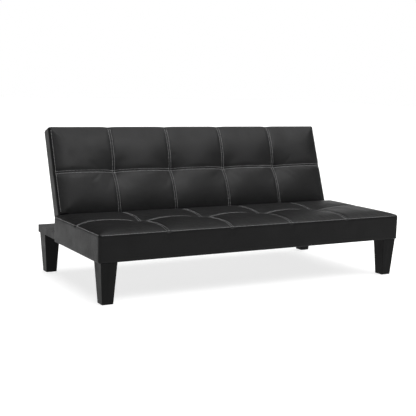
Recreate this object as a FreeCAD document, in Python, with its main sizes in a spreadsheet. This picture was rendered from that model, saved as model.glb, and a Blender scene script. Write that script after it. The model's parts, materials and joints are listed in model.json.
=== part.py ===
import FreeCAD, Part
import math
import os
import re
import Sketcher
from FreeCAD import Placement, Rotation, Vector

# Click-clack sofa bed: an upholstered seat box and a leaning back panel joined by two ratchet
# hinges, with a timber shelf behind the seat that carries the back when it lies flat.
#
# Frame: X along the sofa's width (the sitter's right-hand end is -X), front at -Y, +Z up.
# The origin is on the floor under the middle of the overall box. Millimetres and degrees.
#
# Pieces of the back are drawn in the back's own frame (origin on the hinge axis, y to the
# rear, z up along the panel) and then leaned into place.

DIMENSIONS = {
    # overall
    "total_width": 1860, "total_depth": 900, "total_height": 820,
    # seat box
    "seat_depth": 630, "seat_bottom": 212, "seat_top": 358,
    "cover_wall": 3, "cover_radius": 10, "wadding": 3, "slip": 0.3, "hem": 25,
    "rail_width": 22, "seat_rail_height": 75, "deck_thickness": 4,
    "stretcher_width": 45, "stretcher_height": 22, "dust_cloth": 1,
    "block_size": 70, "block_height": 35,
    # stitched panels: both surfaces are five panels wide
    "column_count": 5,
    # zigzag springs
    "wire_radius": 1.9, "spring_pitch": 25, "spring_reach": 25, "spring_spacing": 200,
    "spring_rows": 9, "spring_depth": 7, "clip_length": 12, "clip_width": 20, "clip_reach": 6,
    # tufting: each tie pulls the cover down into the filling
    "tie_radius": 1.5, "tie_hole": 3, "tie_knot": 4, "seat_tuft_depth": 34, "back_tuft_depth": 28,
    "washer_radius": 15, "washer_thickness": 2, "washer_gap": 0.1,
    # back panel
    "back_width": 1790, "back_thickness": 90, "back_rail_width": 19, "back_rail_depth": 41,
    "back_rail_height": 45, "lean": 20, "cheek_width": 48, "cheek_height": 30, "lining_inset": 30,
    # hinge axis and plates
    "hinge_gap": 47, "hinge_drop": 45, "plate": 4, "plate_gap": 0.5, "plate_inner": 861.5,
    "hub_radius": 22, "pivot_radius": 5, "running_gap": 0.05, "pivot_head": 9,
    "tongue_length": 107, "tongue_low": 17, "foot_start": 6, "foot_width": 20, "foot_length": 64,
    "foot_plate": 3, "plate_bolt_height": 43, "arm_depth": 32, "arm_front": 14, "arm_length": 150,
    "notch_count": 7, "notch_first": -170, "notch_step": 25, "notch_size": 5, "notch_depth": 2,
    # pawl
    "pawl_back": 28, "pawl_drop": 32, "pawl_boss": 8, "pawl_pin": 3, "pawl_plate": 3.6,
    "pawl_side_gap": 0.2, "coil_wire": 0.9, "coil_pitch": 2, "coil_turns": 3, "coil_gap": 0.6,
    "pin_reach": 10,
    # shelf behind the seat
    "shelf_top": 265, "shelf_thickness": 42, "shelf_inset": 5, "shelf_panel": 15,
    "shelf_sheet": 3, "bearer_spacing": 450,
    # legs
    "leg_top": 88, "leg_base": 60, "leg_inset": 12, "front_leg_inset": 4,
    "rear_leg_inset": 5, "glide_height": 3, "glide_radius": 20, "leg_bolt": 4,
    "leg_bolt_grip": 34, "insert_radius": 6, "insert_length": 15, "leg_edge": 3,
    # fasteners
    "frame_bolt": 4, "frame_bolt_height": 238, "frame_nut": 6.5, "plate_bolt": 3,
    "screw_radius": 2, "bolt_slack": 0.3, "bolt_head": 4,
}

doc = FreeCAD.newDocument("sofa_bed")
sheet = doc.addObject("Spreadsheet::Sheet", "dims")
for row, (alias, value) in enumerate(DIMENSIONS.items(), start=1):
    sheet.set(f"A{row}", alias)
    sheet.set(f"B{row}", str(value))
    sheet.setAlias(f"B{row}", alias)

# worked-out sizes, as formulas in the same sheet
DERIVED = {
    "half_width": "total_width / 2",
    "front_y": "-total_depth / 2",
    "seat_rear": "front_y + seat_depth",
    "frame_half": "half_width - cover_wall - wadding",
    "frame_front": "front_y + cover_wall + wadding",
    "frame_rear": "seat_rear - cover_wall - wadding",
    "frame_bottom": "seat_bottom + cover_wall",
    "frame_top": "frame_bottom + seat_rail_height",
    "rail_inner": "frame_half - rail_width",
    "front_inner": "frame_front + rail_width",
    "rear_inner": "frame_rear - rail_width",
    "deck_top": "frame_top + deck_thickness",
    "spring_level": "frame_top - spring_depth",
    "seat_middle": "(front_y + seat_rear) / 2",
    "seat_column": "total_width / column_count",
    "pivot_y": "seat_rear + hinge_gap",
    "pivot_z": "seat_top - hinge_drop",
    "plate_outer": "plate_inner + plate",
    "arm_inner": "plate_outer + plate_gap",
    "arm_outer": "arm_inner + plate",
    "back_half": "back_width / 2",
    "back_face": "-hinge_drop",
    "back_rear": "back_face + back_thickness",
    "back_skin": "back_half - cover_wall",
    "back_top": "(total_height - pivot_z - cover_radius - (hinge_drop - cover_radius)"
                " * sin(lean * 1 deg)) / cos(lean * 1 deg) + cover_radius",
    "back_frame_rear": "back_rear - cover_wall - wadding",
    "back_frame_front": "back_frame_rear - back_rail_depth",
    "back_frame_top": "back_top - cover_wall - wadding",
    "back_frame_bottom": "cheek_height + cover_wall",
    "back_frame_half": "arm_outer + back_rail_width",
    "back_bottom_rail": "back_frame_bottom + back_rail_height",
    "back_top_rail": "back_frame_top - rail_width",
    "back_column": "back_width / column_count",
    "back_middle": "back_top / 2",
    "back_spring_level": "back_frame_front + spring_depth",
    "cheek_inner": "back_half - cheek_width",
    "shelf_half": "half_width - shelf_inset",
    "shelf_rear": "total_depth / 2",
    "shelf_bottom": "shelf_top - shelf_thickness",
    "shelf_rail_top": "shelf_top - shelf_panel",
    "shelf_rail_bottom": "shelf_bottom + shelf_sheet",
    "leg_x": "half_width - leg_inset - leg_top / 2",
    "front_leg_y": "front_y + front_leg_inset + leg_top / 2",
    "rear_leg_y": "shelf_rear - rear_leg_inset - leg_top / 2",
    "front_leg_top": "seat_bottom - dust_cloth",
    "pawl_y": "pivot_y - pawl_back",
    "pawl_z": "pivot_z - pawl_drop",
    "pawl_inner": "arm_inner + pawl_side_gap",
    "pawl_outer": "pawl_inner + pawl_plate",
    "shelf_front_inner": "seat_rear + rail_width",
    "shelf_rear_inner": "shelf_rear - rail_width",
    "shelf_side_inner": "shelf_half - rail_width",
    "back_felt_front": "back_frame_front - deck_thickness",
}
NAMES = sorted(list(DIMENSIONS) + list(DERIVED), key=len, reverse=True)
NAME_PATTERN = re.compile(r"\b(" + "|".join(NAMES) + r")\b")


def bound(formula):
    """A formula in plain names, as an expression on the sheet."""
    return NAME_PATTERN.sub(r"dims.\1", str(formula))


for row, (alias, formula) in enumerate(DERIVED.items(), start=len(DIMENSIONS) + 1):
    sheet.set(f"A{row}", alias)
    sheet.set(f"B{row}", f"={formula}")
    sheet.setAlias(f"B{row}", alias)
    doc.recompute()

pieces = {}


def size(formula):
    """The present value of a formula, for the shapes made with Part's own functions."""
    found = sheet.evalExpression(str(formula))
    return float(getattr(found, "Value", found))


def bind(item, **formulas):
    for name, formula in formulas.items():
        item.setExpression(name, bound(formula))


def move(item, x, y, z):
    for axis, formula in zip("xyz", (x, y, z)):
        item.setExpression(f"Placement.Base.{axis}", bound(formula))


def box(x, y, z):
    """A block between two formulas on each axis."""
    block = doc.addObject("Part::Box", "block")
    bind(block, Length=f"({x[1]}) - ({x[0]})", Width=f"({y[1]}) - ({y[0]})", Height=f"({z[1]}) - ({z[0]})")
    move(block, x[0], y[0], z[0])
    return block


TURN_TO = {
    "x": Rotation(Vector(0, 1, 0), 90),
    "y": Rotation(Vector(1, 0, 0), -90),
    "z": Rotation(),
}


def along(item, axis, start, centre):
    """Lay a primitive that grows along +Z along an axis, from a start and a centre."""
    item.Placement = Placement(Vector(0, 0, 0), TURN_TO[axis])
    place = {"x": (start, *centre), "y": (centre[0], start, centre[1]), "z": (*centre, start)}
    move(item, *place[axis])
    return item


def rod(axis, centre, span, radius):
    """A round bar along an axis; centre gives the other two coordinates, in X, Y, Z order."""
    bar = doc.addObject("Part::Cylinder", "rod")
    bind(bar, Radius=radius, Height=f"({span[1]}) - ({span[0]})")
    return along(bar, axis, span[0], centre)


def hexagon(axis, centre, span, radius):
    nut = doc.addObject("Part::Prism", "hexagon")
    nut.Polygon = 6
    bind(nut, Circumradius=radius, Height=f"({span[1]}) - ({span[0]})")
    return along(nut, axis, span[0], centre)


def group(items):
    compound = doc.addObject("Part::Compound", "group")
    compound.Links = items
    return compound


def fuse(items):
    union = doc.addObject("Part::MultiFuse", "union")
    union.Shapes = items
    return union


def cut(base, tools):
    difference = doc.addObject("Part::Cut", "difference")
    difference.Base = base
    difference.Tool = group(tools)
    return difference


def outline(body, plane, offset, points):
    """A closed sketch of straight lines on one of the body's own planes."""
    sketch = body.newObject("Sketcher::SketchObject", "outline")
    support = next(item for item in body.Origin.OriginFeatures if item.Role == plane)
    sketch.AttachmentSupport = [(support, "")]
    sketch.MapMode = "FlatFace"
    sketch.setExpression("AttachmentOffset.Base.z", bound(offset))
    corners = [(size(x), size(y)) for x, y in points]
    count = len(corners)
    for index in range(count):
        start = Vector(*corners[index], 0)
        end = Vector(*corners[(index + 1) % count], 0)
        sketch.addGeometry(Part.LineSegment(start, end), False)
    for index in range(count):
        sketch.addConstraint(Sketcher.Constraint("Coincident", index, 2, (index + 1) % count, 1))
    for index, pair in enumerate(points):
        for kind, value, formula in zip(("DistanceX", "DistanceY"), corners[index], pair):
            tie = sketch.addConstraint(Sketcher.Constraint(kind, -1, 1, index, 1, value))
            sketch.setExpression(f"Constraints[{tie}]", bound(formula))
    return sketch


def pad(plane, offset, points, length, taper=None):
    """A body padded from a straight-sided outline."""
    body = doc.addObject("PartDesign::Body", "body")
    feature = body.newObject("PartDesign::Pad", "pad")
    feature.Profile = outline(body, plane, offset, points)
    feature.setExpression("Length", bound(length))
    if taper:
        feature.setExpression("TaperAngle", bound(taper))
    body.Tip = feature
    doc.recompute()
    return body


def rounded(body, radius, wanted):
    """Round the edges of a body that the wanted test picks."""
    base = body.Tip
    edges = [f"Edge{number}" for number, edge in enumerate(base.Shape.Edges, start=1) if wanted(edge)]
    fillet = body.newObject("PartDesign::Fillet", "fillet")
    fillet.Base = (base, edges)
    fillet.setExpression("Radius", bound(radius))
    body.Tip = fillet
    doc.recompute()
    return body


def soft_block(x, y, z, radius):
    """A block with every edge rounded except those of its lowest face."""
    points = [(x[0], y[0]), (x[1], y[0]), (x[1], y[1]), (x[0], y[1])]
    body = pad("XY_Plane", z[0], points, f"({z[1]}) - ({z[0]})")
    low = body.Shape.BoundBox.ZMin
    return rounded(body, radius, lambda edge: edge.BoundBox.ZMax > low + 1)


def keep(name, item):
    """Name a finished piece."""
    item.Label = name
    pieces[name] = item
    return item


def lean(name, item):
    """Name a finished piece of the back and lean it into place on the hinge axis."""
    item.Placement = Placement(Vector(0, 0, 0), Rotation(Vector(-1, 0, 0), 1))
    move(item, "0", "pivot_y", "pivot_z")
    item.setExpression("Placement.Rotation.Angle", bound("lean * 1 deg"))
    return keep(name, item)


def both(make):
    """The same thing at the two ends of the sofa."""
    return [make(-1), make(1)]


def ends(side, inner, outer):
    """A span along X at one end of the sofa."""
    return (inner, outer) if side > 0 else (f"-({outer})", f"-({inner})")


def columns(pitch):
    """The four lines between the five stitched panels."""
    return [f"({step}) * {pitch}" for step in (-1.5, -0.5, 0.5, 1.5)]


def centred(formula):
    """A span with its middle on the sofa's middle plane."""
    return (f"-({formula})", formula)


SIDES = (("left", -1), ("right", 1))
# places of the fasteners, from the middle plane, the seat's rear, the hinge axis and the foot's end
BOLT_LINES = [sign * place for place in (150, 380, 700) for sign in (-1, 1)]
PLATE_BOLT_PLACES = (85, 35)
ARM_BOLT_PLACES = (70, 120)
FOOT_SCREW_PLACES = (18, 46)


# ---------------------------------------------------------------- seat frame

def make_seat_frame():
    keep("seat_front_rail", box(centred("rail_inner"), ("frame_front", "front_inner"),
                                ("frame_bottom", "frame_top")))
    rear = box(centred("plate_inner - 0.2"), ("rear_inner", "frame_rear"), ("frame_bottom", "frame_top"))
    holes = [frame_bolt_hole(place, "rear_inner - 1", "frame_rear + 1") for place in BOLT_LINES]
    keep("seat_rear_rail", cut(rear, holes))
    for name, side in SIDES:
        rail = box(ends(side, "rail_inner", "frame_half"), ("frame_front", "frame_rear"),
                   ("frame_bottom", "frame_top"))
        drilled = [plate_bolt_hole(side, place, "rail_inner - 1", "frame_half - 2")
                   for place in PLATE_BOLT_PLACES]
        keep(f"seat_{name}_rail", cut(rail, drilled))
        block = box(ends(side, "plate_outer", "rail_inner"), ("frame_rear - 120", "frame_rear"),
                    ("frame_bottom", "frame_top"))
        drilled = [plate_bolt_hole(side, place, "plate_outer - 1", "rail_inner + 1")
                   for place in PLATE_BOLT_PLACES]
        keep(f"{name}_hinge_block", cut(block, drilled))
    stretchers = [box((f"{line} - stretcher_width / 2", f"{line} + stretcher_width / 2"),
                      ("front_inner", "rear_inner"), ("frame_bottom", "frame_bottom + stretcher_height"))
                  for line in columns("seat_column")]
    keep("seat_stretchers", group(stretchers))

    def corner_block(side):
        block = box(ends(side, "rail_inner - block_size", "rail_inner"),
                    ("front_inner", "front_inner + block_size"),
                    ("frame_bottom", "frame_bottom + block_height"))
        return cut(block, [rod("z", (f"{side} * leg_x", "front_leg_y"),
                               ("frame_bottom - 1", "frame_bottom + block_height + 1"),
                               "leg_bolt + running_gap")])

    keep("seat_corner_blocks", group(both(corner_block)))


def frame_bolt_hole(place, start, end):
    return rod("y", (place, "frame_bolt_height"), (start, end), "frame_bolt + bolt_slack")


def plate_bolt_hole(side, place, start, end):
    return rod("x", (f"frame_rear - {place}", "frame_bottom + plate_bolt_height"), ends(side, start, end),
               "plate_bolt + bolt_slack")


# ---------------------------------------------------------------- springs

def zigzag(length, reach, pitch, radius):
    """One zigzag wire along +Y: straight runs along X joined by half turns, ends on the centre line."""
    turns = int((length - 2 * radius) / pitch)
    half = (length - 2 * radius) / turns / 2
    run = reach - half
    side = -1
    position = Vector(0, radius, 0)
    edges = []
    for _ in range(turns):
        straight = Vector(side * run, position.y, 0)
        edges.append(Part.LineSegment(position, straight).toShape())
        crest = straight + Vector(side * half, half, 0)
        position = straight + Vector(0, 2 * half, 0)
        edges.append(Part.Arc(straight, crest, position).toShape())
        side = -side
    edges.append(Part.LineSegment(position, Vector(0, position.y, 0)).toShape())
    profile = Part.Wire([Part.Circle(Vector(0, radius, 0), Vector(1, 0, 0), radius).toShape()])
    return Part.Wire(edges).makePipeShell([profile], True, False)


def spring_lines():
    count = int(size("spring_rows"))
    return [(index - (count - 1) / 2) * size("spring_spacing") for index in range(count)]


def spring_set(length):
    wire = zigzag(length, size("spring_reach"), size("spring_pitch"), size("wire_radius"))
    return [wire.translated(Vector(place, 0, 0)) for place in spring_lines()]


def make_seat_springs():
    start = size("front_inner") + size("clip_length")
    length = size("rear_inner") - size("clip_length") - start
    springs = doc.addObject("Part::Feature", "springs")
    springs.Shape = Part.makeCompound(spring_set(length))
    springs.Placement = Placement(Vector(0, start, size("spring_level")), Rotation())
    keep("seat_springs", springs)
    clips = []
    for place in spring_lines():
        width = (f"{place} - clip_width / 2", f"{place} + clip_width / 2")
        height = ("spring_level - clip_reach", "spring_level + clip_reach")
        clips.append(box(width, ("front_inner", "front_inner + clip_length"), height))
        clips.append(box(width, ("rear_inner - clip_length", "rear_inner"), height))
    keep("seat_spring_clips", group(clips))


# ---------------------------------------------------------------- seat upholstery

def seat_tie(line, start, end, radius):
    return rod("z", (line, "seat_middle"), (start, end), radius)


def make_seat_upholstery():
    lines = columns("seat_column")
    deck = box(centred("frame_half - 2"), ("frame_front + 2", "frame_rear - 2"), ("frame_top", "deck_top"))
    keep("seat_deck_felt", cut(deck, [seat_tie(line, "frame_top - 1", "deck_top + 1", "tie_hole")
                                      for line in lines]))
    foam = soft_block(centred("half_width - cover_wall - slip"),
                      ("front_y + cover_wall + slip", "seat_rear - cover_wall - slip"),
                      ("deck_top + slip", "seat_top - cover_wall - slip"), "cover_radius - cover_wall")
    keep("seat_foam", cut(foam, [seat_tie(line, "deck_top - 1", "seat_top", "tie_hole")
                                 for line in lines]))
    keep("seat_tuft_ties", group([seat_tie(line, "frame_top - tie_knot", "seat_top - seat_tuft_depth",
                                           "tie_radius") for line in lines]))
    washers = [cut(seat_tie(line, "frame_top - washer_gap - washer_thickness", "frame_top - washer_gap",
                            "washer_radius"),
                   [seat_tie(line, "frame_top - 5", "frame_top + 1", "tie_radius + running_gap")])
               for line in lines]
    keep("seat_tuft_washers", group(washers))
    skin = soft_block(centred("half_width"), ("front_y", "seat_rear"), ("seat_bottom", "seat_top"),
                      "cover_radius")
    inside = soft_block(centred("half_width - cover_wall"),
                        ("front_y + cover_wall", "seat_rear - cover_wall"),
                        ("frame_bottom", "seat_top - cover_wall"), "cover_radius - cover_wall")
    below = box(centred("frame_half - hem"), ("frame_front + hem", "frame_rear - hem"),
                ("seat_bottom - 1", "frame_bottom + 1"))
    slots = both(lambda side: box(ends(side, "plate_inner - slip", "plate_outer + slip"),
                                  ("seat_rear - 10", "seat_rear + 5"),
                                  ("shelf_top - slip", "shelf_top + 35")))
    holes = [frame_bolt_hole(place, "seat_rear - 10", "seat_rear + 1") for place in BOLT_LINES]
    keep("seat_cover", cut(skin, [inside, below, *slots, *holes]))
    cloth = box(centred("half_width - 15"), ("front_y + 15", "seat_rear - 15"),
                ("seat_bottom - dust_cloth", "seat_bottom"))
    bolts = both(lambda side: rod("z", (f"{side} * leg_x", "front_leg_y"),
                                  ("seat_bottom - 5", "seat_bottom + 1"), "leg_bolt + 2"))
    keep("seat_dust_cloth", cut(cloth, bolts))


# ---------------------------------------------------------------- shelf

def make_shelf():
    rail_z = ("shelf_rail_bottom", "shelf_rail_top")
    panel = box(centred("shelf_half"), ("seat_rear", "shelf_rear"), ("shelf_rail_top", "shelf_top"))
    keep("shelf_top_panel", cut(panel, foot_screw_holes("shelf_rail_top + 1", "shelf_top + 1",
                                                        "running_gap")))
    front = box(centred("shelf_side_inner"), ("seat_rear", "shelf_front_inner"), rail_z)
    holes = [frame_bolt_hole(place, "seat_rear - 1", "shelf_front_inner + 1") for place in BOLT_LINES]
    keep("shelf_front_rail", cut(front, holes))
    keep("shelf_rear_rail", box(centred("shelf_side_inner"), ("shelf_rear_inner", "shelf_rear"), rail_z))
    for name, side in SIDES:
        keep(f"shelf_{name}_rail", box(ends(side, "shelf_side_inner", "shelf_half"),
                                       ("seat_rear", "shelf_rear"), rail_z))
    inner = ("shelf_front_inner", "shelf_rear_inner")
    bearers = [box((f"{step} * bearer_spacing - stretcher_width / 2",
                    f"{step} * bearer_spacing + stretcher_width / 2"), inner, rail_z)
               for step in (-1, 0, 1)]
    keep("shelf_bearers", group(bearers))

    def corner_block(side):
        block = box(ends(side, "shelf_side_inner - block_size", "shelf_side_inner"),
                    ("shelf_rear_inner - block_size", "shelf_rear_inner"), rail_z)
        return cut(block, [rod("z", (f"{side} * leg_x", "rear_leg_y"),
                               ("shelf_rail_bottom - 1", "shelf_rail_top + 1"), "leg_bolt + running_gap")])

    keep("shelf_corner_blocks", group(both(corner_block)))
    bottom = box(centred("shelf_half"), ("seat_rear", "shelf_rear"), ("shelf_bottom", "shelf_rail_bottom"))
    bolts = both(lambda side: rod("z", (f"{side} * leg_x", "rear_leg_y"),
                                  ("shelf_bottom - 1", "shelf_rail_bottom + 1"), "leg_bolt + 2"))
    keep("shelf_bottom_panel", cut(bottom, bolts))


def make_frame_bolts():
    bolts = []
    nuts = []
    for place in BOLT_LINES:
        centre = (place, "frame_bolt_height")
        shaft = rod("y", centre, ("rear_inner - bolt_head", "shelf_front_inner + frame_nut + 2.5"),
                    "frame_bolt")
        head = hexagon("y", centre, ("rear_inner - bolt_head", "rear_inner"), "frame_bolt * 1.9")
        bolts.append(fuse([shaft, head]))
        body = hexagon("y", centre, ("shelf_front_inner", "shelf_front_inner + frame_nut"),
                       "frame_bolt * 1.9")
        bore = rod("y", centre, ("shelf_front_inner - 1", "shelf_front_inner + frame_nut + 1"),
                   "frame_bolt + running_gap")
        nuts.append(cut(body, [bore]))
    keep("frame_bolts", group(bolts))
    keep("frame_nuts", group(nuts))


# ---------------------------------------------------------------- legs

def make_leg(name, side, y, top):
    corners = [(f"{side} * leg_x + ({a}) * leg_base / 2", f"{y} + ({b}) * leg_base / 2")
               for a, b in ((-1, -1), (1, -1), (1, 1), (-1, 1))]
    flare = f"atan((leg_top - leg_base) / 2 / ({top} - glide_height))"
    body = pad("XY_Plane", "glide_height", corners, f"{top} - glide_height", flare)
    high = body.Shape.BoundBox.ZMax
    rounded(body, "leg_edge", lambda edge: edge.BoundBox.ZLength > high / 2)
    centre = (f"{side} * leg_x", y)
    insert_hole = rod("z", centre, (f"{top} - insert_length", f"{top} + 1"), "insert_radius + running_gap")
    bolt_hole = rod("z", centre, (f"{top} - leg_bolt_grip - 2", f"{top} - insert_length + 1"),
                    "leg_bolt + bolt_slack")
    keep(name, cut(body, [insert_hole, bolt_hole]))


def make_legs():
    glides = []
    bolts = []
    inserts = []
    for depth, y, top, reach in (("front", "front_leg_y", "front_leg_top", "frame_bottom + 30"),
                                 ("rear", "rear_leg_y", "shelf_bottom", "shelf_rail_top - 2")):
        for name, side in SIDES:
            make_leg(f"{depth}_{name}_leg", side, y, top)
            centre = (f"{side} * leg_x", y)
            glides.append(rod("z", centre, ("0", "glide_height"), "glide_radius"))
            bolts.append(rod("z", centre, (f"{top} - leg_bolt_grip", reach), "leg_bolt"))
            sleeve = rod("z", centre, (f"{top} - insert_length", top), "insert_radius")
            bore = rod("z", centre, (f"{top} - insert_length - 1", f"{top} + 1"), "leg_bolt + running_gap")
            inserts.append(cut(sleeve, [bore]))
    keep("leg_glides", group(glides))
    keep("leg_hanger_bolts", group(bolts))
    keep("leg_threaded_inserts", group(inserts))


# ---------------------------------------------------------------- hinges

def foot_screw_holes(start, end, slack):
    """Screws, or holes for them, through the feet of the two hinge brackets."""
    return [rod("z", (f"{side} * (plate_outer + 12)", f"seat_rear + foot_start + {place}"), (start, end),
                f"screw_radius + {slack}")
            for side in (-1, 1) for place in FOOT_SCREW_PLACES]


def make_bracket(name, side):
    """Fixed plate: a tongue inside the seat, a foot on the shelf and a round eye at the hinge axis."""
    low = "frame_bottom + tongue_low"
    points = [("frame_rear - tongue_length", low), ("frame_rear - 1", low), ("frame_rear - 1", "shelf_top"),
              ("pivot_y + 23", "shelf_top"), ("pivot_y + hub_radius", "pivot_z"),
              ("pivot_y - hub_radius", "pivot_z"), ("frame_rear - 1", "frame_top - 2"),
              ("frame_rear - tongue_length", "frame_top - 6")]
    start = "plate_inner" if side > 0 else "-plate_outer"
    plate = pad("YZ_Plane", start, points, "plate")
    span = ends(side, "plate_inner", "plate_outer")
    eye = rod("x", ("pivot_y", "pivot_z"), span, "hub_radius")
    foot = box(ends(side, "plate_inner", "plate_outer + foot_width"),
               ("seat_rear + foot_start", "seat_rear + foot_start + foot_length"),
               ("shelf_top", "shelf_top + foot_plate"))
    through = ends(side, "plate_inner - 1", "plate_outer + 1")
    holes = [rod("x", ("pivot_y", "pivot_z"), through, "pivot_radius + running_gap"),
             rod("x", ("pawl_y", "pawl_z"), through, "pawl_pin + running_gap")]
    holes += [plate_bolt_hole(side, place, "plate_inner - 1", "plate_outer + 1")
              for place in PLATE_BOLT_PLACES]
    holes += foot_screw_holes("shelf_top - 1", "shelf_top + 9", "bolt_slack")
    keep(f"{name}_hinge_bracket", cut(fuse([plate, eye, foot]), holes))


def make_arm(name, side):
    """Moving arm: a notched hub on the hinge axis and a strap up the inside of the back's rail."""
    span = ends(side, "arm_inner", "arm_outer")
    hub = rod("x", ("0", "0"), span, "hub_radius")
    shoulder = box(span, ("-arm_front", "arm_depth"), ("8", "cheek_height - 1"))
    strap = box(span, ("0", "arm_depth"), ("cheek_height - 5", "arm_length"))
    tools = [rod("x", ("0", "0"), ends(side, "arm_inner - 1", "arm_outer + 1"),
                 "pivot_radius + running_gap")]
    across = ends(side, "arm_inner - 1", "arm_outer + 1")
    for step in range(int(size("notch_count"))):
        angle = size(f"notch_first + {step} * notch_step")
        tooth = box(across, ("0", "notch_size"), ("0", "notch_size"))
        tooth.Placement = Placement(Vector(0, 0, 0), Rotation(Vector(1, 0, 0), angle - 45))
        move(tooth, across[0], f"(hub_radius - notch_depth) * cos({angle} * 1 deg)",
             f"(hub_radius - notch_depth) * sin({angle} * 1 deg)")
        tools.append(tooth)
    tools += [arm_bolt(side, place, "arm_inner - 1", "arm_outer + 1", "bolt_slack")
              for place in ARM_BOLT_PLACES]
    lean(f"{name}_hinge_arm", cut(fuse([hub, shoulder, strap]), tools))


def arm_bolt(side, place, start, end, slack):
    return rod("x", ("arm_depth / 2 + 2", place), ends(side, start, end), f"plate_bolt + {slack}")


def make_pawl(name, side):
    """Spring-loaded catch under the notched hub, and the pin that it turns on."""
    points = [("pivot_y - 30", "pivot_z - 25"), ("pivot_y - 26", "pivot_z - 39"),
              ("pivot_y + 2", "pivot_z - 28"), ("pivot_y + 2", "pivot_z - hub_radius - 0.7"),
              ("pivot_y - 2", "pivot_z - hub_radius - 0.9")]
    span = ends(side, "pawl_inner", "pawl_outer")
    finger = pad("YZ_Plane", span[0], points, "pawl_plate")
    centre = ("pawl_y", "pawl_z")
    boss = rod("x", centre, span, "pawl_boss")
    bore = rod("x", centre, ends(side, "pawl_inner - 1", "pawl_outer + 1"), "pawl_pin + running_gap")
    keep(f"{name}_pawl", cut(fuse([finger, boss]), [bore]))
    shaft = rod("x", centre, ends(side, "plate_inner - 2", "arm_outer + pin_reach"), "pawl_pin")
    rivet = rod("x", centre, ends(side, "plate_inner - 2", "plate_inner"), "pawl_pin + 2")
    cap = rod("x", centre, ends(side, "arm_outer + pin_reach - 1.5", "arm_outer + pin_reach"),
              "pawl_pin + 3")
    return fuse([shaft, rivet, cap])


def make_pawl_springs():
    """A short torsion coil round each pawl pin, just outside the pawl."""
    ring = size("pawl_pin + coil_gap + coil_wire")
    path = Part.makeHelix(size("coil_pitch"), size("coil_turns * coil_pitch"), ring)
    profile = Part.Wire([Part.Circle(Vector(ring, 0, 0), Vector(0, 1, 0), size("coil_wire")).toShape()])
    wound = Part.Wire(path).makePipeShell([profile], True, True)
    coils = []
    for _, side in SIDES:
        coil = doc.addObject("Part::Feature", "coil")
        coil.Shape = wound
        start = Vector(side * size("arm_outer + 2 * coil_wire - 0.4"), size("pawl_y"), size("pawl_z"))
        coil.Placement = Placement(start, Rotation(Vector(0, 1, 0), 90 * side))
        coils.append(coil)
    keep("pawl_springs", group(coils))


def make_pivot(side):
    """The bolt of one hinge axis, and its nut."""
    centre = ("pivot_y", "pivot_z")
    shaft = rod("x", centre, ends(side, "plate_inner - 10", "arm_outer + slip + 1"), "pivot_radius")
    head = rod("x", centre, ends(side, "arm_outer + slip", "arm_outer + slip + bolt_head"), "pivot_head")
    bolt = fuse([shaft, head])
    nut = hexagon("x", centre, ends(side, "plate_inner - 8", "plate_inner"), "pivot_head")
    bore = rod("x", centre, ends(side, "plate_inner - 9", "plate_inner + 1"), "pivot_radius + running_gap")
    return bolt, cut(nut, [bore])


def make_hinges():
    pins = []
    for name, side in SIDES:
        make_bracket(name, side)
        make_arm(name, side)
        pins.append(make_pawl(name, side))
    keep("pawl_pins", group(pins))
    make_pawl_springs()
    pivots = both(make_pivot)
    keep("pivot_bolts", group([bolt for bolt, _ in pivots]))
    keep("pivot_nuts", group([nut for _, nut in pivots]))
    bolts = []
    arm_bolts = []
    for side in (-1, 1):
        for place in PLATE_BOLT_PLACES:
            centre = (f"frame_rear - {place}", "frame_bottom + plate_bolt_height")
            shaft = rod("x", centre, ends(side, "plate_inner - bolt_head", "frame_half - 4"), "plate_bolt")
            head = rod("x", centre, ends(side, "plate_inner - bolt_head", "plate_inner"), "plate_bolt * 2")
            bolts.append(fuse([shaft, head]))
        for place in ARM_BOLT_PLACES:
            shaft = arm_bolt(side, place, "arm_inner - 3", "arm_outer + 15", "0")
            head = arm_bolt(side, place, "arm_inner - 3", "arm_inner", "plate_bolt")
            arm_bolts.append(fuse([shaft, head]))
    keep("hinge_bracket_bolts", group(bolts))
    lean("hinge_arm_bolts", group(arm_bolts))
    screws = []
    shafts = foot_screw_holes("shelf_rail_top + 3", "shelf_top + foot_plate + 1", "0")
    heads = foot_screw_holes("shelf_top + foot_plate", "shelf_top + foot_plate + 2", "2")
    for shaft, head in zip(shafts, heads):
        screws.append(fuse([shaft, head]))
    keep("hinge_foot_screws", group(screws))


# ---------------------------------------------------------------- back

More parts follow.
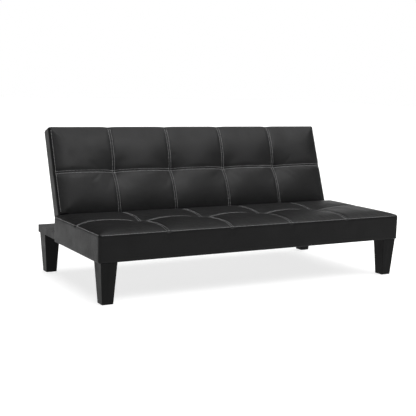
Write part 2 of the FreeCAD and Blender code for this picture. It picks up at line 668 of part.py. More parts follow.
def make_back_frame():
    deep = ("back_frame_front", "back_frame_rear")
    for name, side in SIDES:
        rail = box(ends(side, "arm_outer", "back_frame_half"), deep, ("back_frame_bottom", "back_frame_top"))
        holes = [arm_bolt(side, place, "arm_outer - 1", "arm_outer + 16", "bolt_slack")
                 for place in ARM_BOLT_PLACES]
        lean(f"back_{name}_rail", cut(rail, holes))
    lean("back_top_rail", group([box(centred("arm_outer"), deep, ("back_top_rail", "back_frame_top"))]))
    lean("back_bottom_rail", group([box(centred("plate_inner"), deep,
                                        ("back_frame_bottom", "back_bottom_rail"))]))
    battens = [box((f"{line} - stretcher_width / 2", f"{line} + stretcher_width / 2"),
                   ("back_frame_rear - stretcher_height", "back_frame_rear"),
                   ("back_bottom_rail", "back_top_rail")) for line in columns("back_column")]
    lean("back_battens", group(battens))
    start = size("back_bottom_rail") + size("clip_length")
    length = size("back_top_rail") - size("clip_length") - start
    upright = Placement(Vector(0, size("back_spring_level"), start), Rotation(Vector(1, 0, 0), 90))
    wires = []
    for wire in spring_set(length):
        wire.Placement = upright.multiply(wire.Placement)
        wires.append(wire)
    springs = doc.addObject("Part::Feature", "springs")
    springs.Shape = Part.makeCompound(wires)
    springs.Placement = Placement(Vector(0, size("pivot_y"), size("pivot_z")),
                                  Rotation(Vector(-1, 0, 0), size("lean")))
    keep("back_springs", springs)
    clips = []
    for place in spring_lines():
        width = (f"{place} - clip_width / 2", f"{place} + clip_width / 2")
        depth = ("back_spring_level - clip_reach", "back_spring_level + clip_reach")
        clips.append(box(width, depth, ("back_bottom_rail", "back_bottom_rail + clip_length")))
        clips.append(box(width, depth, ("back_top_rail - clip_length", "back_top_rail")))
    lean("back_spring_clips", group(clips))


def back_tie(line, start, end, radius):
    return rod("y", (line, "back_middle"), (start, end), radius)


def make_back_upholstery():
    lines = columns("back_column")
    front = "back_felt_front"
    felt = box(centred("back_skin - wadding - 2"), (front, "back_frame_front"),
               ("back_frame_bottom + 3", "back_frame_top"))
    lean("back_deck_felt", cut(felt, [back_tie(line, f"{front} - 1", "back_frame_front + 1", "tie_hole")
                                      for line in lines]))
    slab = soft_block(centred("back_skin - slip"),
                      ("back_face + cover_wall + slip", "back_rear - cover_wall - slip"),
                      ("cover_wall + slip", "back_top - cover_wall - slip"), "cover_radius - cover_wall")
    behind = box(centred("back_half"), (f"{front} - slip", "back_rear"),
                 ("back_frame_bottom - slip", "back_top + 1"))
    cheeks = both(lambda side: box(ends(side, "cheek_inner - cover_wall - slip", "back_half + 1"),
                                   ("back_face - 1", "back_rear + 1"),
                                   ("-1", "cheek_height + cover_wall + slip")))
    ties = [back_tie(line, "back_face", f"{front} + 1", "tie_hole") for line in lines]
    lean("back_foam", cut(slab, [behind, *cheeks, *ties]))
    lean("back_tuft_ties", group([back_tie(line, "back_face + back_tuft_depth",
                                           "back_frame_front + tie_knot", "tie_radius")
                                  for line in lines]))
    washers = [cut(back_tie(line, "back_frame_front + washer_gap",
                            "back_frame_front + washer_gap + washer_thickness", "washer_radius"),
                   [back_tie(line, "back_frame_front - 1", "back_frame_front + 5",
                             "tie_radius + running_gap")]) for line in lines]
    lean("back_tuft_washers", group(washers))
    skin = soft_block(centred("back_half"), ("back_face", "back_rear"), ("0", "back_top"), "cover_radius")
    inside = soft_block(centred("back_skin"), ("back_face + cover_wall", "back_rear - cover_wall"),
                        ("cover_wall", "back_top - cover_wall"), "cover_radius - cover_wall")
    boxed = both(lambda side: box(ends(side, "cheek_inner - cover_wall", "back_half + 1"),
                                  ("back_face - 1", "back_rear + 1"), ("-1", "cheek_height + cover_wall")))
    hollow = cut(inside, boxed)
    notches = both(lambda side: box(ends(side, "cheek_inner", "back_half + 1"),
                                    ("back_face - 1", "back_rear + 1"), ("-1", "cheek_height")))
    slots = both(lambda side: box(ends(side, "arm_inner - slip", "arm_outer + slip"),
                                  ("-1", "arm_depth + 1"), ("cheek_height - 1", "cheek_height + 5")))
    window = box(centred("back_half - 40"), ("back_rear - 5", "back_rear + 1"),
                 ("back_frame_bottom + hem", "back_frame_top - hem"))
    lean("back_cover", cut(skin, [hollow, *notches, *slots, window]))
    lean("back_rear_lining", group([box(centred("back_half - lining_inset"),
                                        ("back_rear", "back_rear + dust_cloth"),
                                        ("back_frame_bottom + hem / 2", "back_frame_top - hem / 2"))]))


make_seat_frame()
make_seat_springs()
make_seat_upholstery()
make_shelf()
make_frame_bolts()
make_legs()
make_hinges()
make_back_frame()
make_back_upholstery()
doc.recompute()

for item in doc.Objects:
    if any(state in ("Invalid", "Error") for state in item.State):
        raise RuntimeError(f"{item.Label} failed: {item.State}")
os.makedirs("parts", exist_ok=True)
for name, item in pieces.items():
    shape = item.Shape
    if shape.isNull() or not shape.isValid() or not shape.Solids:
        raise RuntimeError(f"{name} has no valid shape")
    shape.exportStep(f"parts/{name}.step")
    low = shape.BoundBox
    print(f"{name:24} {len(shape.Solids):3} solids  volume {shape.Volume / 1000:10.1f} cm3  "
          f"X {low.XMin:7.1f} {low.XMax:7.1f}  Y {low.YMin:7.1f} {low.YMax:7.1f}  "
          f"Z {low.ZMin:6.1f} {low.ZMax:6.1f}")
print(len(pieces), "pieces")
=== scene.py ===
import json
import math
import random

import bpy
from mathutils import Matrix, Vector
from mathutils.bvhtree import BVHTree


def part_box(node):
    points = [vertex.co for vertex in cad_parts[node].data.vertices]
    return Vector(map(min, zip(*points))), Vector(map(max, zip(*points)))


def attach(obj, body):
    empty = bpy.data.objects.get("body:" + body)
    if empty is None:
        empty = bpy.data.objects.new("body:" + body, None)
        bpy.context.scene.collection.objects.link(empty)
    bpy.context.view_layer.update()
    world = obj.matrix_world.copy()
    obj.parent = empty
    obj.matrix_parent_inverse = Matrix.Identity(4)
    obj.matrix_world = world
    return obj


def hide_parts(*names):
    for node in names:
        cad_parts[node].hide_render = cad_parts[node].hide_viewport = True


# Click-clack sofa bed on a plain pale studio floor, seen from the front left. Lengths are metres.

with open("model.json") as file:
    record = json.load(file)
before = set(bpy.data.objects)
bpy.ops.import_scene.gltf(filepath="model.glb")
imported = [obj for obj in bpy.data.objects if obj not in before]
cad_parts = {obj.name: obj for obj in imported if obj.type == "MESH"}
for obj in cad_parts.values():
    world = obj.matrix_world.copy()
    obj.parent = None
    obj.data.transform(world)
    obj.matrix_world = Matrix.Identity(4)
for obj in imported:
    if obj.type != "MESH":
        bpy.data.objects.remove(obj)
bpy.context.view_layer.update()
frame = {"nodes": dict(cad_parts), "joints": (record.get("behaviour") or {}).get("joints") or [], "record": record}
nodes = frame["nodes"]

# Upholstered blocks
COLUMNS = 5
ROWS = 2
CELL = 0.0098                # mesh spacing of the cover before subdivision
SEAT_CROWN = 0.015
SEAT_TUFT_DEPTH = 0.039
BACK_CROWN = 0.013
BACK_TUFT_DEPTH = 0.037
BACK_LEAN = math.radians(20)
BACK_THICKNESS = 0.090
BACK_FRONT = 0.045           # from the hinge axis to the back's front face
BACK_TOP_RADIUS = 0.010      # of the CAD cover's upper corner, which sets the back's length
CHEEK_HEIGHT = 0.030         # cut-out at each lower end of the back, where the hinge stands
CHEEK_MARGIN = 0.0145        # from the hinge bracket's inner side to the cut-out's inner side

# Shape of the cover
EDGE_RADIUS = 0.013
FACE_START = 0.55            # share of the height where the tufted face's shaping sets in
FACE_BLEND = 0.40            # share of the height over which it grows to full strength
FACE_LEVEL = 0.6             # share of the height above which a point belongs to the face
BORDER_REACH = 0.085         # how far in from the border the crown rises
BORDER_POWER = 0.6
BORDER_DROP = 0.006
SWELL_SHARE = 0.45           # part of the crown that is there before the cover is blown up
TUFT_REACH = 0.036
TUFT_POWER = 1.2
SEAM_REST = 0.004
SEAM_REACH = 0.016
SEAM_GROOVE = 0.0030
GROOVE_REACH = 0.0036
GROOVE_EDGE = 0.004          # the grooves stop this far from the border
PINCH = 0.0026               # how far a seam draws in the block's long sides
PINCH_REACH = 0.030
PINCH_ZONE = 0.02
FOLD_SEED = 7
FOLD_START = 0.02            # a fold is at its full depth this far from its tuft
FOLD_ANGLE = (9, 34)         # degrees from the seam beside it
FOLD_REACH = (0.035, 0.085)
FOLD_WIDTH = (0.0055, 0.0085)
FOLD_DEPTH = (0.0012, 0.0028)

# Cloth simulation
LAST_FRAME = 20
MOVE_LIMIT = 0.024
TUFT_HOLD = 0.010            # radius held fast at each tuft
TUFT_EASE = 0.012
RIM_HOLD = 0.55
RIM_START = 0.006
RIM_EASE = 0.03
SNUG_REACH = CELL * 0.6

# Stitching
STITCH_OFFSET = 0.0065       # each row of stitches from its seam
STITCH_LENGTH = 0.0064
STITCH_PITCH = 0.0080
STITCH_WIDTH = 0.0022
STITCH_SIDES = 5
STITCH_RINGS = (             # share of the length, share of the width, lift in widths
    (0.0, 0.25, -0.5),
    (0.2, 0.9, 0.12),
    (0.5, 1.0, 0.3),
    (0.8, 0.9, 0.12),
    (1.0, 0.25, -0.5),
)
ROW_STEP = 0.004             # spacing of the points found on the cover along a row
ROW_INSET = 0.012
BORDER_INSET = 0.014
BORDER_ROW_DROP = 0.011      # border row below the upper edge
RAY_START = 0.12
RAY_REACH = 0.4

LACQUER_BEVEL = 0.0015

scene = bpy.context.scene
scene.view_settings.view_transform = "Standard"


# ---------------------------------------------------------------- shader helpers

class Shader:
    """A material under construction: adds nodes and joins them."""

    def __init__(self, name):
        self.material = bpy.data.materials.new(name)
        self.material.use_nodes = True
        self.tree = self.material.node_tree
        self.surface = self.tree.nodes["Principled BSDF"]
        self.place = self.add("ShaderNodeTexCoord").outputs["Object"]

    def add(self, kind, **values):
        node = self.tree.nodes.new(kind)
        for key, value in values.items():
            if hasattr(node, key):
                setattr(node, key, value)
            else:
                node.inputs[key.replace("_", " ")].default_value = value
        return node

    def join(self, start, end):
        self.tree.links.new(start, end)

    def noise(self, scale, detail=4.0, stretch=None):
        node = self.add("ShaderNodeTexNoise", Scale=scale, Detail=detail)
        self.join(self.stretched(stretch), node.inputs["Vector"])
        return node.outputs["Fac"]

    def cells(self, scale):
        node = self.add("ShaderNodeTexVoronoi", Scale=scale)
        self.join(self.place, node.inputs["Vector"])
        return node.outputs["Distance"]

    def stretched(self, stretch):
        if stretch is None:
            return self.place
        node = self.add("ShaderNodeMapping")
        node.inputs["Scale"].default_value = stretch
        self.join(self.place, node.inputs["Vector"])
        return node.outputs["Vector"]

    def spread(self, source, low, high):
        """A texture's middle values, 0.3 to 0.7, turned into a range."""
        node = self.add("ShaderNodeMapRange", From_Min=0.3, From_Max=0.7, To_Min=low, To_Max=high)
        self.join(source, node.inputs["Value"])
        return node.outputs["Result"]

    def between(self, source, first, second):
        """Two colours mixed by a texture's middle values, 0.35 to 0.65."""
        ramp = self.add("ShaderNodeValToRGB")
        for stop, position, colour in zip(ramp.color_ramp.elements, (0.35, 0.65), (first, second)):
            stop.position = position
            stop.color = (*colour, 1)
        self.join(source, ramp.inputs["Fac"])
        return ramp.outputs["Color"]

    def bump(self, source, depth, strength, under=None):
        """A height texture as a normal, laid over the normal under it."""
        node = self.add("ShaderNodeBump", Distance=depth, Strength=strength)
        self.join(source, node.inputs["Height"])
        if under is not None:
            self.join(under, node.inputs["Normal"])
        return node.outputs["Normal"]

    def finish(self, colour, roughness, normal, **constants):
        """Joins the textures and sets the constant values of the surface."""
        for key, value in constants.items():
            self.surface.inputs[key.replace("_", " ")].default_value = value
        for socket, source in (("Base Color", colour), ("Roughness", roughness), ("Normal", normal)):
            if source is not None:
                self.join(source, self.surface.inputs[socket])
        return self.material


def faux_leather():
    """Black polyurethane leather: fine pebble grain, soft sheen, faint rub marks in large random patches."""
    shader = Shader("faux_leather")
    worn = shader.noise(5.0, 5.0)
    colour = shader.between(worn, (0.0030, 0.0030, 0.0031), (0.0046, 0.0046, 0.0048))
    roughness = shader.spread(shader.noise(14.0, 6.0), 0.40, 0.50)
    pebbles = shader.cells(620.0)
    creases = shader.noise(95.0, 7.0)
    soft = shader.noise(22.0, 3.0)
    normal = shader.bump(soft, 0.0022, 0.35)
    normal = shader.bump(creases, 0.0006, 0.45, normal)
    normal = shader.bump(pebbles, 0.00035, 0.55, normal)
    return shader.finish(colour, roughness, normal, Specular_IOR_Level=0.13)


def thread():
    """Light grey twisted polyester."""
    shader = Shader("thread")
    colour = shader.between(shader.noise(300.0), (0.17, 0.17, 0.173), (0.27, 0.27, 0.273))
    normal = shader.bump(shader.noise(1800.0, 2.0), 0.0003, 0.6)
    return shader.finish(colour, None, normal, Roughness=0.62)


def lacquered_wood(name, first, second, grain=(1.0, 1.0, 14.0), roughness=(0.40, 0.52)):
    """Dark satin lacquer with the grain just telegraphing through."""
    shader = Shader(name)
    fibres = shader.noise(60.0, 8.0, tuple(1.0 / value for value in grain))
    colour = shader.between(fibres, first, second)
    shine = shader.spread(shader.noise(18.0, 5.0), *roughness)
    normal = shader.bump(fibres, 0.0004, 0.35)
    return shader.finish(colour, shine, normal, Specular_IOR_Level=0.10)


def pine():
    """Unfinished softwood of the hidden frames."""
    shader = Shader("pine")
    rings = shader.noise(34.0, 9.0, (0.12, 1.0, 1.0))
    colour = shader.between(rings, (0.62, 0.43, 0.24), (0.40, 0.25, 0.12))
    normal = shader.bump(rings, 0.0008, 0.5)
    return shader.finish(colour, None, normal, Roughness=0.72)


def steel(name, first, second, roughness, metallic=1.0):
    """Plated or, with metallic 0, black painted steel."""
    shader = Shader(name)
    tarnish = shader.noise(40.0, 6.0)
    colour = shader.between(tarnish, first, second)
    shine = shader.spread(shader.noise(160.0, 4.0), *roughness)
    normal = shader.bump(shader.noise(420.0, 3.0), 0.0002, 0.4)
    return shader.finish(colour, shine, normal, Metallic=metallic)


def cloth(name, first, second, weave=900.0):
    """Non-woven or felted cloth: crossed fibres and a dull surface."""
    shader = Shader(name)
    fibres = shader.cells(weave)
    colour = shader.between(shader.noise(45.0, 6.0), first, second)
    normal = shader.bump(fibres, 0.0006, 0.7)
    return shader.finish(colour, None, normal, Roughness=0.92)


def glide_plastic():
    """Matt black plastic of the feet's glides."""
    shader = Shader("glide_plastic")
    colour = shader.between(shader.noise(120.0), (0.018, 0.018, 0.019), (0.035, 0.035, 0.036))
    normal = shader.bump(shader.noise(700.0), 0.0002, 0.5)
    return shader.finish(colour, None, normal, Roughness=0.55)


def studio_floor():
    """Pale paper sweep, partly glowing so that shadows on it stay light."""
    shader = Shader("studio_floor")
    colour = shader.between(shader.noise(2.0), (0.44, 0.44, 0.44), (0.46, 0.46, 0.46))
    return shader.finish(colour, None, None, Roughness=0.8, Specular_IOR_Level=0.1,
                         Emission_Color=(1, 1, 1, 1), Emission_Strength=0.76)


LEATHER = faux_leather()
THREAD = thread()
FINISHES = {
    "faux_leather": LEATHER,
    "lining_cloth": cloth("lining_cloth", (0.014, 0.014, 0.014), (0.018, 0.018, 0.018)),
    "foam": cloth("foam", (0.80, 0.74, 0.52), (0.86, 0.80, 0.60), 500.0),
    "felt": cloth("felt", (0.34, 0.33, 0.32), (0.22, 0.21, 0.21)),
    "twine": cloth("twine", (0.30, 0.30, 0.30), (0.42, 0.42, 0.42), 1500.0),
    "pine": pine(),
    "shelf_lacquer": lacquered_wood("shelf_lacquer", (0.0050, 0.0050, 0.0052), (0.0085, 0.0083, 0.0083),
                                    (14.0, 1.0, 1.0)),
    "leg_lacquer": lacquered_wood("leg_lacquer", (0.0018, 0.0018, 0.0019), (0.0034, 0.0033, 0.0033)),
    "spring_steel": steel("spring_steel", (0.30, 0.30, 0.31), (0.45, 0.45, 0.46), (0.28, 0.45)),
    "hinge_steel": steel("hinge_steel", (0.012, 0.012, 0.013), (0.022, 0.022, 0.023), (0.35, 0.5), 0.0),
    "zinc_steel": steel("zinc_steel", (0.52, 0.52, 0.50), (0.66, 0.66, 0.66), (0.22, 0.38)),
    "glide_plastic": glide_plastic(),
}


def dress_cad_nodes():
    """Every CAD piece gets its slot's material; the lacquered pieces' hard edges get a small visual bevel."""
    slots = {part["node"]: part["material_slot"] for part in frame["record"]["subparts"]}
    for name, item in nodes.items():
        item.data.materials.clear()
        item.data.materials.append(FINISHES[slots[name]])
        if slots[name] in ("shelf_lacquer", "leg_lacquer"):
            bevel = item.modifiers.new("eased_edges", "BEVEL")
            bevel.width = LACQUER_BEVEL
            bevel.segments = 2
            bevel.limit_method = "ANGLE"


# ---------------------------------------------------------------- upholstery

def lines(low, high, count):
    """count + 1 even places from low to high."""
    return [low + (high - low) * step / count for step in range(count + 1)]


def lattice_shell(name, xs, ys, zs, solid):
    """The outside of the cells for which solid() is true, as a grid of quads."""
    found = {}
    verts = []
    faces = []

    def corner(i, j, k):
        if (i, j, k) not in found:
            found[(i, j, k)] = len(verts)
            verts.append((xs[i], ys[j], zs[k]))
        return found[(i, j, k)]

    steps = (((1, 0, 0), ((1, 0, 0), (1, 1, 0), (1, 1, 1), (1, 0, 1))),
             ((-1, 0, 0), ((0, 0, 0), (0, 0, 1), (0, 1, 1), (0, 1, 0))),
             ((0, 1, 0), ((0, 1, 0), (0, 1, 1), (1, 1, 1), (1, 1, 0))),
             ((0, -1, 0), ((0, 0, 0), (1, 0, 0), (1, 0, 1), (0, 0, 1))),
             ((0, 0, 1), ((0, 0, 1), (1, 0, 1), (1, 1, 1), (0, 1, 1))),
             ((0, 0, -1), ((0, 0, 0), (0, 1, 0), (1, 1, 0), (1, 0, 0))))
    last = (len(xs) - 1, len(ys) - 1, len(zs) - 1)

    def filled(i, j, k):
        inside = 0 <= i < last[0] and 0 <= j < last[1] and 0 <= k < last[2]
        return inside and solid(i, j, k)

    for i in range(last[0]):
        for j in range(last[1]):
            for k in range(last[2]):
                if not filled(i, j, k):
                    continue
                for (a, b, c), square in steps:
                    if not filled(i + a, j + b, k + c):
                        faces.append([corner(i + u, j + v, k + w) for u, v, w in square])
    mesh = bpy.data.meshes.new(name)
    mesh.from_pydata(verts, [], faces)
    mesh.update()
    item = bpy.data.objects.new(name, mesh)
    scene.collection.objects.link(item)
    return item


def smooth(value):
    """0 below 0, 1 above 1, an even slope between."""
    value = min(1.0, max(0.0, value))
    return value * value * (3 - 2 * value)


class Panel:
    """One upholstered block. Its own frame: x across, y along the panel, z out of the tufted face."""

    def __init__(self, name, size, place, crown, tuft_depth, round_base, cheek=None):
        self.name = name
        self.width, self.length, self.height = size
        self.place = place
        self.crown = crown
        self.tuft_depth = tuft_depth
        self.round_base = round_base
        self.cheek = cheek
        self.seam_x = [self.width * (step / COLUMNS - 0.5) for step in range(1, COLUMNS)]
        self.seam_y = [self.length * step / ROWS for step in range(1, ROWS)]
        self.folds = self.draw_folds()
        self.item = None
        self.tree = None

    def draw_folds(self):
        """Small folds that run out from each tuft, mostly along the seams.
        Each is (tuft, direction, reach, width, depth)."""
        rng = random.Random(FOLD_SEED + len(self.name))
        folds = []
        for centre in self.tufts():
            for axis in (0, 90, 180, 270):
                for side in (-1, 1):
                    angle = math.radians(axis + side * rng.uniform(*FOLD_ANGLE))
                    folds.append((centre, (math.cos(angle), math.sin(angle)), rng.uniform(*FOLD_REACH),
                                  rng.uniform(*FOLD_WIDTH), rng.uniform(*FOLD_DEPTH)))
        return folds

    def tufts(self):
        return [(x, y) for x in self.seam_x for y in self.seam_y]

    def seam_distance(self, x, y):
        return min([abs(x - line) for line in self.seam_x] + [abs(y - line) for line in self.seam_y])

    def tuft_distance(self, x, y):
        return min(math.hypot(x - a, y - b) for a, b in self.tufts())

    def edge_distance(self, x, y):
        return min(self.width / 2 - abs(x), y, self.length - y)

    def face_share(self, z):
        """0 low on the sides, 1 at the tufted face."""
        return smooth((z / self.height - FACE_START) / FACE_BLEND)

    def build(self):
        """The block as a grid of quads, shaped but not yet swollen."""
        across = COLUMNS * round(self.width / COLUMNS / CELL)
        xs = lines(-self.width / 2, self.width / 2, across)
        ys = lines(0, self.length, ROWS * round(self.length / ROWS / CELL))
        zs = lines(0, self.height, round(self.height / CELL))
        if self.cheek:
            limit = self.width / 2 - self.cheek[0]

            def solid(i, j, k):
                middle = (xs[i] + xs[i + 1]) / 2
                return abs(middle) < limit or (ys[j] + ys[j + 1]) / 2 > self.cheek[1]
        else:
            def solid(i, j, k):
                return True
        self.item = lattice_shell(self.name, xs, ys, zs, solid)
        share = SWELL_SHARE
        for vertex in self.item.data.vertices:
            vertex.co = self.shaped(vertex.co, share)

    def shaped(self, point, share):
        """Soft edges, a crown that sinks to the border, shallow seams and deep tufts."""
        point = self.rounded(point)
        x, y, z = point
        level = self.face_share(z)
        if level == 0:
            return point
        inside = smooth(self.edge_distance(x, y) / BORDER_REACH) ** BORDER_POWER
        rise = self.crown * share * inside - BORDER_DROP * (1 - inside)
        tuft = math.exp(-(self.tuft_distance(x, y) / TUFT_REACH) ** TUFT_POWER)
        depth = self.tuft_depth - self.crown * (1 - share)
        seam = SEAM_REST * math.exp(-(self.seam_distance(x, y) / SEAM_REACH) ** 2) * (1 - tuft)
        across = min(abs(x - line) for line in self.seam_x)
        pinch = PINCH * math.exp(-(across / PINCH_REACH) ** 2) * level
        if y > self.length - PINCH_ZONE:
            y -= pinch
        elif y < PINCH_ZONE:
            y += pinch
        z += (rise - depth * tuft - seam - self.fold_depth(x, y)) * level
        return Vector((x, y, z))

    def rounded(self, point):
        """Rounds the block's edges, but leaves the base square where it rests on something."""
        radius = EDGE_RADIUS
        low = Vector((-self.width / 2, 0, 0))
        high = Vector((self.width / 2, self.length, self.height))
        inner_low = low + Vector((radius, radius, radius if self.round_base else 0))
        inner_high = high - Vector((radius, radius, radius))
        inner = Vector([min(max(point[a], inner_low[a]), inner_high[a]) for a in range(3)])
        out = point - inner
        if out.length > radius:
            return inner + out.normalized() * radius
        return point

    def fold_depth(self, x, y):
        """Depth of all folds at a place; a fold fades in close to its tuft and out along its reach."""
        total = 0.0
        for (a, b), (u, v), reach, width, depth in self.folds:
            ahead = (x - a) * u + (y - b) * v
            if 0 < ahead < 2.5 * reach:
                aside = (x - a) * -v + (y - b) * u
                section = math.exp(-(aside / width) ** 2 - (ahead / reach) ** 2)
                total += depth * section * smooth(ahead / FOLD_START)
        return total

    def inflate(self):
        """Cloth simulation: the cover swells over the filling while tufts and border stay put."""
        start = [vertex.co.copy() for vertex in self.item.data.vertices]
        self.mark_held_points()
        self.add_cloth()
        scene.frame_start, scene.frame_end = 1, LAST_FRAME
        for frame_number in range(1, LAST_FRAME + 1):
            scene.frame_set(frame_number)
        graph = bpy.context.evaluated_depsgraph_get()
        swollen = self.item.evaluated_get(graph).to_mesh()
        moved = []
        for before, vertex in zip(start, swollen.vertices):
            step = vertex.co - before
            if step.length > 1e-6:
                step = step.normalized() * MOVE_LIMIT * math.tanh(step.length / MOVE_LIMIT)
            moved.append(before + step)
        self.item.evaluated_get(graph).to_mesh_clear()
        self.item.modifiers.clear()
        for vertex, place in zip(self.item.data.vertices, moved):
            vertex.co = place
        self.item.vertex_groups.clear()
        scene.frame_set(1)

    def mark_held_points(self):
        """Group held: sides, tufts and, partly, the rim. Group snug: the seams, which shrink a little."""
        held = self.item.vertex_groups.new(name="held")
        snug = self.item.vertex_groups.new(name="snug")
        for vertex in self.item.data.vertices:
            x, y, z = vertex.co
            top = z > self.height * FACE_LEVEL
            side = 1 - self.face_share(z)
            tuft = 1 - smooth((self.tuft_distance(x, y) - TUFT_HOLD) / TUFT_EASE)
            rim = RIM_HOLD * (1 - smooth((self.edge_distance(x, y) - RIM_START) / RIM_EASE))
            weight = max(side, tuft if top else 0, rim if top else 0)
            if weight:
                held.add([vertex.index], weight, "REPLACE")
            if top and self.seam_distance(x, y) < SNUG_REACH:
                snug.add([vertex.index], 1.0, "REPLACE")

    def add_cloth(self):
        """A stiff cover with pressure inside and no gravity."""
        cover = self.item.modifiers.new("cloth", "CLOTH")
        settings = cover.settings
        settings.quality = 6
        settings.mass = 0.25
        settings.tension_stiffness = 40
        settings.compression_stiffness = 30
        settings.shear_stiffness = 20
        settings.bending_stiffness = 2.5
        settings.tension_damping = 15
        settings.compression_damping = 15
        settings.air_damping = 2
        settings.vertex_group_mass = "held"
        settings.pin_stiffness = 1.0
        settings.use_pressure = True
        settings.uniform_pressure_force = 4.0
        settings.vertex_group_shrink = "snug"
        settings.shrink_min = -0.004
        settings.shrink_max = 0.006
        settings.effector_weights.gravity = 0
        cover.collision_settings.use_collision = False

    def refine(self):
        """One subdivision, then sewn grooves along the seams."""
        item = self.item
        subdivision = item.modifiers.new("smooth", "SUBSURF")
        subdivision.levels = subdivision.render_levels = 1
        graph = bpy.context.evaluated_depsgraph_get()
        mesh = bpy.data.meshes.new_from_object(item.evaluated_get(graph))
        item.modifiers.clear()
        old = item.data
        item.data = mesh
        bpy.data.meshes.remove(old)
        mesh.name = self.name
        for vertex in mesh.vertices:
            x, y, z = vertex.co
            if z > self.height * FACE_LEVEL and self.edge_distance(x, y) > GROOVE_EDGE:
                depth = math.exp(-(self.seam_distance(x, y) / GROOVE_REACH) ** 2)
                vertex.co.z -= SEAM_GROOVE * depth
        for face in mesh.polygons:
            face.use_smooth = True
        self.tree = BVHTree.FromPolygons([vertex.co.copy() for vertex in mesh.vertices],
                                         [tuple(face.vertices) for face in mesh.polygons])

    def onto(self, point, direction):
        """Where a ray from outside meets the cover."""
        hit, normal, _, _ = self.tree.ray_cast(point - direction * RAY_START, direction, RAY_REACH)
        return (hit, normal) if hit else None

    def stitch_line(self, start, end, direction):
        """(point, normal) pairs on the cover along a straight sewing line."""
        count = max(2, round((end - start).length / ROW_STEP))
        found = [self.onto(start.lerp(end, step / count), direction) for step in range(count + 1)]
        return [hit for hit in found if hit]

    def sewing_lines(self):
        """All rows of stitches as (start, end, sewing direction): pairs along the seams, single ones
        at the border."""
        down = Vector((0, 0, -1))
        top = self.height
        half = self.width / 2 - ROW_INSET
        far = self.length - ROW_INSET
        rows = []
        for line in self.seam_x:
            for x in (line - STITCH_OFFSET, line + STITCH_OFFSET):
                rows.append((Vector((x, ROW_INSET, top)), Vector((x, far, top)), down))
        for line in self.seam_y:
            for y in (line - STITCH_OFFSET, line + STITCH_OFFSET):
                rows.append((Vector((-half, y, top)), Vector((half, y, top)), down))
        return rows + (self.end_rows() if self.cheek else self.rim_rows())

    def end_rows(self):
        """Down the two ends of the back's face."""
        down = Vector((0, 0, -1))
        half = self.width / 2 - ROW_INSET
        low = BORDER_INSET + self.cheek[1]
        high = self.length - BORDER_INSET
        return [(Vector((x, low, self.height)), Vector((x, high, self.height)), down) for x in (-half, half)]

    def rim_rows(self):
        """Round the seat's four sides, just below its upper edge."""
        half = self.width / 2
        inner = half - BORDER_INSET
        far = self.length - BORDER_INSET
        level = self.height - BORDER_ROW_DROP
        long_rows = [(Vector((-inner, y, level)), Vector((inner, y, level)), Vector((0, inward, 0)))
                     for y, inward in ((0, 1), (self.length, -1))]
        short_rows = [(Vector((x, BORDER_INSET, level)), Vector((x, far, level)), Vector((inward, 0, 0)))
                      for x, inward in ((-half, 1), (half, -1))]
        return long_rows + short_rows

    def sew(self):
        """The stitches as short raised threads on the cover, in one mesh."""
        verts = []
        faces = []
        for start, end, direction in self.sewing_lines():
            row = self.stitch_line(start, end, direction)
            add_stitches(row, verts, faces)
        mesh = bpy.data.meshes.new(self.name + "_stitching")
        mesh.from_pydata(verts, [], faces)
        mesh.update()
        for face in mesh.polygons:
            face.use_smooth = True
        item = bpy.data.objects.new(self.name + "_stitching", mesh)
        scene.collection.objects.link(item)
        item.data.materials.append(THREAD)
        return item

    def make(self, body, replaced):
        """Builds, dresses and places the block, which rides a body in place of its CAD solids."""
        self.build()
        self.inflate()
        self.refine()
        stitching = self.sew()
        self.item.data.materials.append(LEATHER)
        for piece, slot in ((self.item, "faux_leather"), (stitching, "twine")):
            piece.data.transform(self.place)
            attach(piece, body)
        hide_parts(*replaced)


def add_stitches(row, verts, faces):
    """Short tapered threads laid end to end along a row of (point, normal) pairs."""
    if len(row) < 3:
        return
    lengths = [0.0]
    for (a, _), (b, _) in zip(row, row[1:]):
        lengths.append(lengths[-1] + (b - a).length)

    def at(distance):
        """Point and normal at a distance along the row."""
        for step in range(len(lengths) - 1):
            if lengths[step + 1] >= distance:
                span = max(lengths[step + 1] - lengths[step], 1e-9)
                share = (distance - lengths[step]) / span
                point = row[step][0].lerp(row[step + 1][0], share)
                return point, row[step][1].lerp(row[step + 1][1], share).normalized()
        return row[-1]

    sides = STITCH_SIDES
    for number in range(int(lengths[-1] / STITCH_PITCH)):
        begin = number * STITCH_PITCH
        base = len(verts)
        for share, thick, lift in STITCH_RINGS:
            point, normal = at(begin + share * STITCH_LENGTH)
            ahead, _ = at(begin + share * STITCH_LENGTH + STITCH_LENGTH / 8)
            along = ahead - point
            if along.length < 1e-7:
                along = row[-1][0] - row[0][0]
            along.normalize()
            across = along.cross(normal).normalized()
            radius = STITCH_WIDTH / 2 * thick
            centre = point + normal * lift * STITCH_WIDTH
            for corner in range(sides):
                angle = 2 * math.pi * corner / sides
                verts.append(centre + across * math.cos(angle) * radius + normal * math.sin(angle) * radius)
        for ring in range(len(STITCH_RINGS) - 1):
            for corner in range(sides):
                after = (corner + 1) % sides
                first = base + ring * sides
                second = first + sides
                faces.append((first + corner, first + after, second + after, second + corner))
        faces.append(tuple(base + corner for corner in reversed(range(sides))))
        end = base + (len(STITCH_RINGS) - 1) * sides
        faces.append(tuple(end + corner for corner in range(sides)))


def hinge_axis():
    """A point on the axis that the back turns on."""
    joint = next(joint for joint in frame["joints"] if joint["name"] == "back_recline")
    return Vector(joint["pos_m"])


def make_seat():
    """The seat lies flat, its tufted face up, and is square underneath where it meets the frame."""
    low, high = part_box("seat_cover")
    place = Matrix.Translation(Vector((0, low.y, low.z)))
    size = (high.x - low.x, high.y - low.y, high.z - low.z)
    seat = Panel("seat_upholstery", size, place, SEAT_CROWN, SEAT_TUFT_DEPTH, round_base=False)
    seat.make("base", ("seat_cover", "seat_foam"))


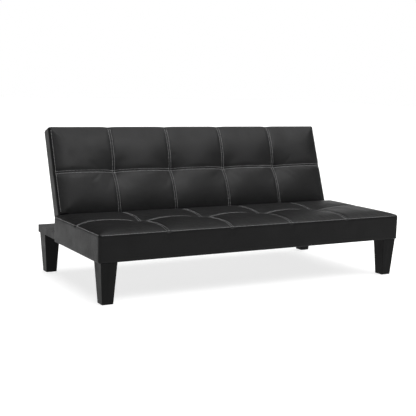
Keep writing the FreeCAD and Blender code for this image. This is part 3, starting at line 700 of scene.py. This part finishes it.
def make_back():
    """The back's own frame stands on the hinge axis and leans; its tufted face looks forward."""
    axis = hinge_axis()
    low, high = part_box("back_cover")
    corner_rise = (BACK_FRONT - BACK_TOP_RADIUS) * math.sin(BACK_LEAN)
    rise = high.z - axis.z - BACK_TOP_RADIUS - corner_rise
    length = rise / math.cos(BACK_LEAN) + BACK_TOP_RADIUS
    lean = Matrix.Rotation(-BACK_LEAN, 4, "X")
    rear_face = Matrix.Translation(Vector((0, BACK_THICKNESS - BACK_FRONT, 0)))
    stand_up = Matrix.Rotation(math.pi / 2, 4, "X")
    place = Matrix.Translation(axis) @ lean @ rear_face @ stand_up
    cheek = (high.x - cheek_inner_side(), CHEEK_HEIGHT)
    size = (high.x - low.x, length, BACK_THICKNESS)
    back = Panel("back_upholstery", size, place, BACK_CROWN, BACK_TUFT_DEPTH, round_base=True, cheek=cheek)
    back.make("back", ("back_cover", "back_foam"))


def cheek_inner_side():
    """How far from the middle plane the cut-outs for the hinges begin."""
    low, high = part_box("left_hinge_bracket")
    return min(abs(low.x), abs(high.x)) - CHEEK_MARGIN


# ---------------------------------------------------------------- studio

def make_studio():
    bpy.ops.mesh.primitive_plane_add(size=60, location=(0, 10, 0))
    floor = bpy.context.object
    floor.name = "studio_floor"
    floor.data.materials.append(studio_floor())
    make_surroundings()
    softbox("key", position=(0.80, -1.15, 2.15), target=(0.60, 0.45, 1.00), size=(3.6, 1.0), power=18,
            spread=math.radians(66))
    overhead = bpy.data.lights.new("overhead", "SUN")
    overhead.energy = 4.0
    overhead.angle = math.radians(80)
    item = bpy.data.objects.new("overhead", overhead)
    item.rotation_euler = (math.radians(10), math.radians(15), 0)
    scene.collection.objects.link(item)


def make_surroundings():
    """White backdrop behind the object and all along the horizon, greyer above and towards the front."""
    world = bpy.data.worlds.new("studio")
    scene.world = world
    world.use_nodes = True
    sky = world.node_tree.nodes
    join = world.node_tree.links.new
    direction = sky.new("ShaderNodeTexCoord").outputs["Generated"]
    height = sky.new("ShaderNodeSeparateXYZ")
    join(direction, height.inputs["Vector"])
    by_height = studio_ramp(sky, (0.16, 1.0), (0.40, 0.32))
    join(height.outputs["Z"], by_height.inputs["Fac"])
    toward_backdrop = sky.new("ShaderNodeVectorMath")
    toward_backdrop.operation = "DOT_PRODUCT"
    toward_backdrop.inputs[1].default_value = (0.50, 0.86, 0.0)
    join(direction, toward_backdrop.inputs[0])
    by_direction = studio_ramp(sky, (0.55, 0.15), (0.90, 1.0))
    join(toward_backdrop.outputs["Value"], by_direction.inputs["Fac"])
    product = sky.new("ShaderNodeVectorMath")
    product.operation = "MULTIPLY"
    join(by_height.outputs["Color"], product.inputs[0])
    join(by_direction.outputs["Color"], product.inputs[1])
    horizon = studio_ramp(sky, (0.11, 1.0), (0.17, 0.0))
    join(height.outputs["Z"], horizon.inputs["Fac"])
    lighter = sky.new("ShaderNodeVectorMath")
    lighter.operation = "MAXIMUM"
    join(product.outputs["Vector"], lighter.inputs[0])
    join(horizon.outputs["Color"], lighter.inputs[1])
    join(lighter.outputs["Vector"], sky["Background"].inputs["Color"])
    sky["Background"].inputs["Strength"].default_value = 1.0


def studio_ramp(nodes, first, second):
    """Grey scale between two (place, brightness) stops."""
    ramp = nodes.new("ShaderNodeValToRGB")
    for stop, (position, grey) in zip(ramp.color_ramp.elements, (first, second)):
        stop.position = position
        stop.color = (grey, grey, grey, 1)
    return ramp


def softbox(name, position, target, size, power, spread):
    """A rectangular lamp aimed at a point."""
    light = bpy.data.lights.new(name, "AREA")
    light.shape = "RECTANGLE"
    light.size, light.size_y = size
    light.energy = power
    light.spread = spread
    item = bpy.data.objects.new(name, light)
    item.location = position
    item.rotation_euler = (Vector(target) - Vector(position)).to_track_quat("-Z", "Y").to_euler()
    item.visible_camera = False
    scene.collection.objects.link(item)


def make_camera():
    """Front left, a little above the back's top edge."""
    camera = bpy.data.cameras.new("camera")
    camera.sensor_width = 36
    camera.lens = 75.65
    item = bpy.data.objects.new("camera", camera)
    heading = math.radians(29.69)
    pitch = math.radians(8.2)
    tilt = math.radians(1.5)
    item.location = (-2.506, -4.250, 1.084)
    aim = Matrix.Rotation(-heading, 4, "Z") @ Matrix.Rotation(math.pi / 2 - pitch, 4, "X")
    item.rotation_euler = (aim @ Matrix.Rotation(tilt, 4, "Z")).to_euler()
    scene.collection.objects.link(item)
    scene.camera = item


dress_cad_nodes()
make_seat()
make_back()
make_studio()
make_camera()
